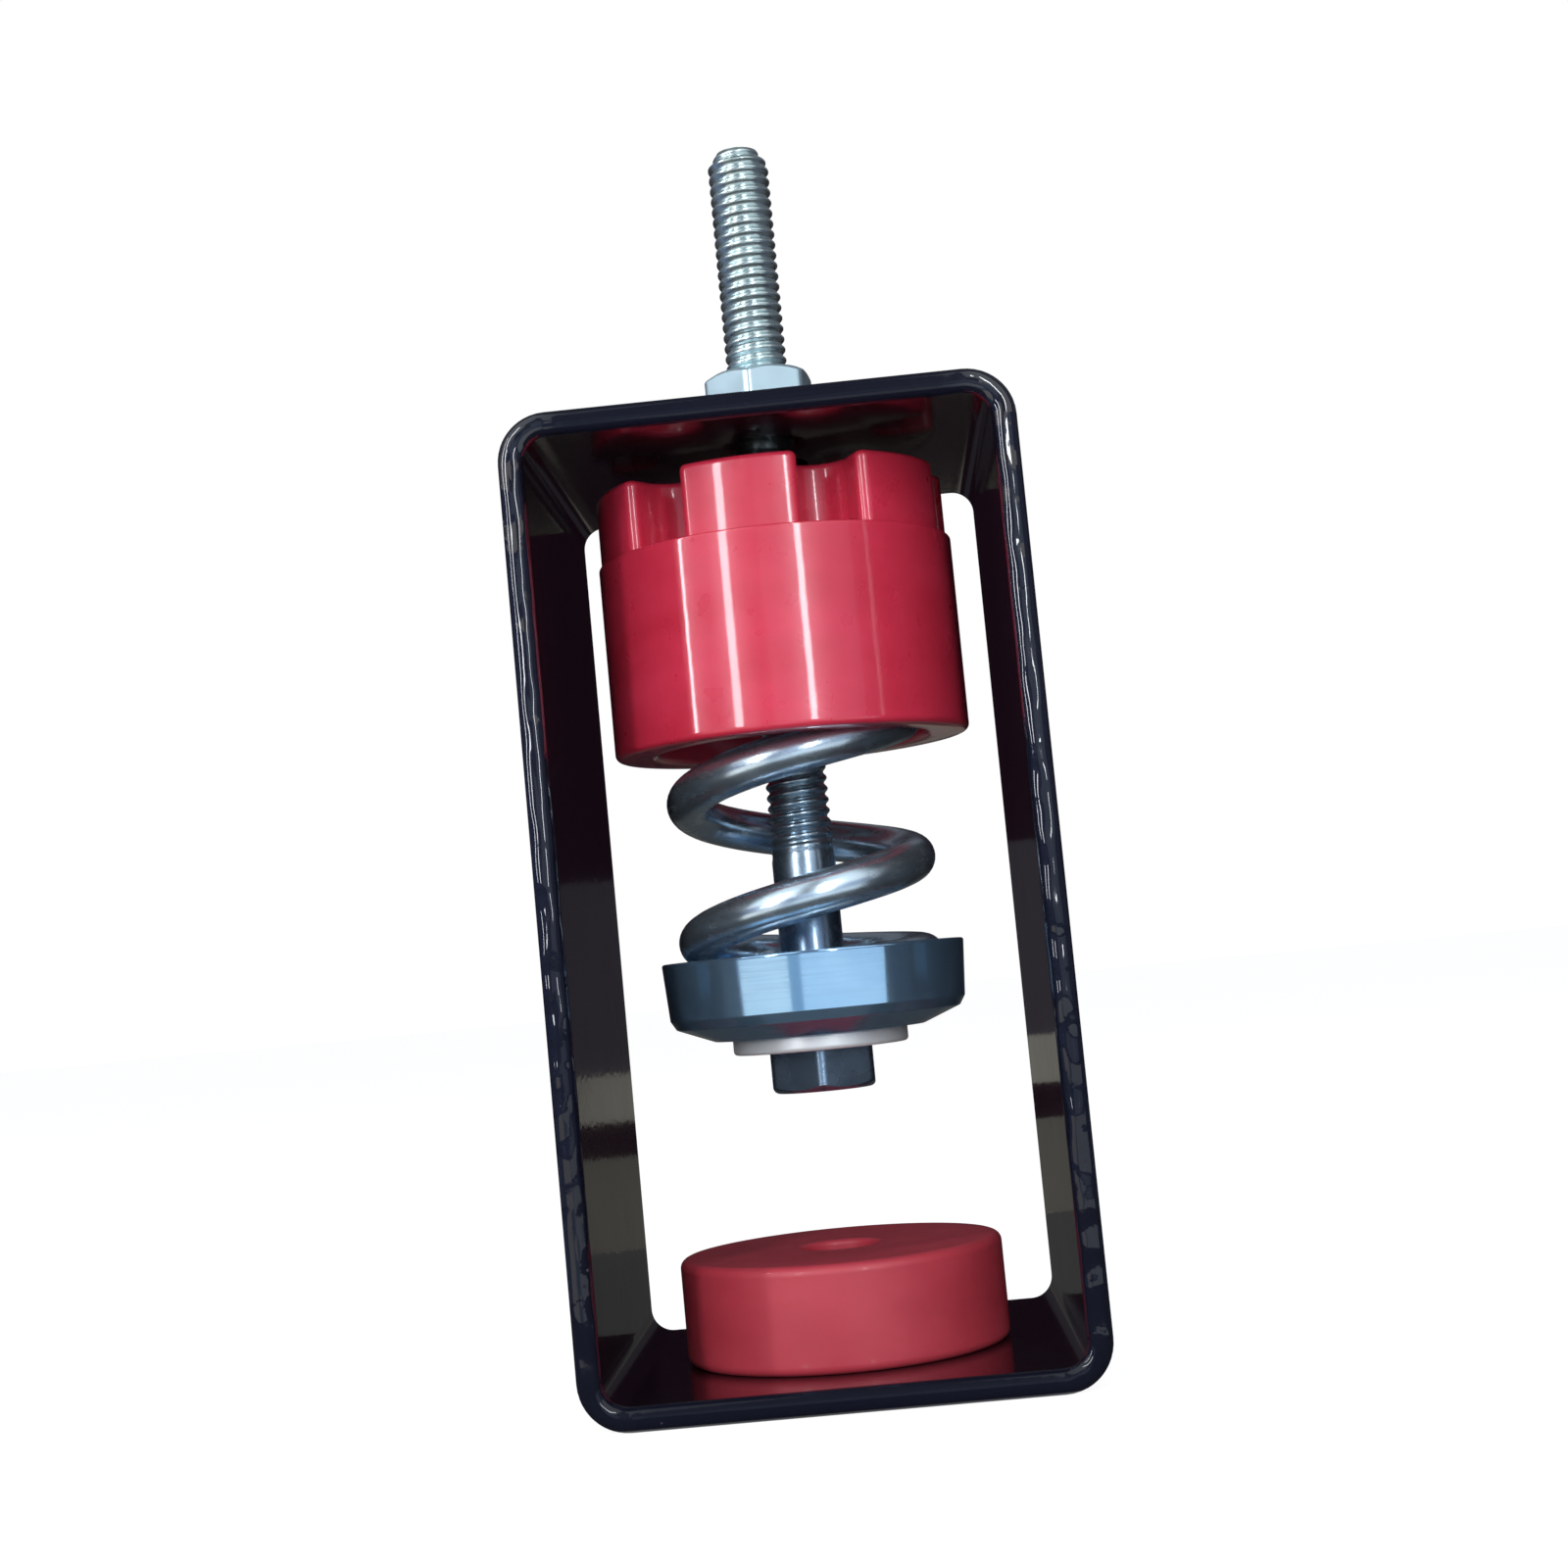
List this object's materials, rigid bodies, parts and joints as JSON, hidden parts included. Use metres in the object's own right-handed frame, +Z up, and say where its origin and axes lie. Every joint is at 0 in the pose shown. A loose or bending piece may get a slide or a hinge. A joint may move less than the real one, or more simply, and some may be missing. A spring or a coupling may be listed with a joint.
{
  "type": "spring vibration isolator",
  "caption": "Spring hanger: a steel box frame hung on a hex bolt through a castellated rubber cup, a coil spring and a dished seat, with a bored rubber pad on its floor.",
  "frame": {"origin": "centre of the box frame's underside, on the bolt's axis", "axes": "+Z up along the bolt towards the free end of the stud, +X to the right across the frame, +Y from the open front to the open rear"},
  "size_m": [0.062, 0.06, 0.1594],
  "materials": {
    "black_paint": "glossy black enamel with a light orange peel",
    "red_rubber_cup": "smooth glossy red elastomer",
    "spring_steel": "polished dark spring steel",
    "blued_steel": "turned steel with a glossy blue-black finish",
    "zinc_washer": "bright zinc plating",
    "zinc_bolt": "zinc plating, slightly grey",
    "zinc_nut": "pale blue-white zinc plating",
    "red_rubber_pad": "satin red elastomer"
  },
  "bodies": {
    "housing": {"housing": "black_paint", "foot_pad": "red_rubber_pad"},
    "cup": {"rubber_cup": "red_rubber_cup", "coil_spring": "spring_steel"},
    "seat": {"spring_seat": "blued_steel"},
    "bolt": {"hanger_bolt": "zinc_bolt", "seat_washer": "zinc_washer", "top_nut": "zinc_nut"}
  },
  "joints": [
    {"name": "spring_travel", "type": "slide", "parent": "housing", "child": "seat", "axis": [0, 0, 1], "range_m": [0, 0.02], "stiffness_N_per_m": 190000, "deforming": ["coil_spring"]},
    {"name": "cup_lift", "type": "slide", "parent": "housing", "child": "cup", "axis": [0, 0, 1], "range_m": [0, 0.0027]},
    {"name": "bolt_swivel", "type": "hinge", "parent": "seat", "child": "bolt", "pos_m": [0, 0, 0.041], "axis": [0, 0, 1], "continuous": true}
  ],
  "couplings": [
    {"joint": "cup_lift", "follows": "spring_travel", "ratio": 0.135}
  ]
}
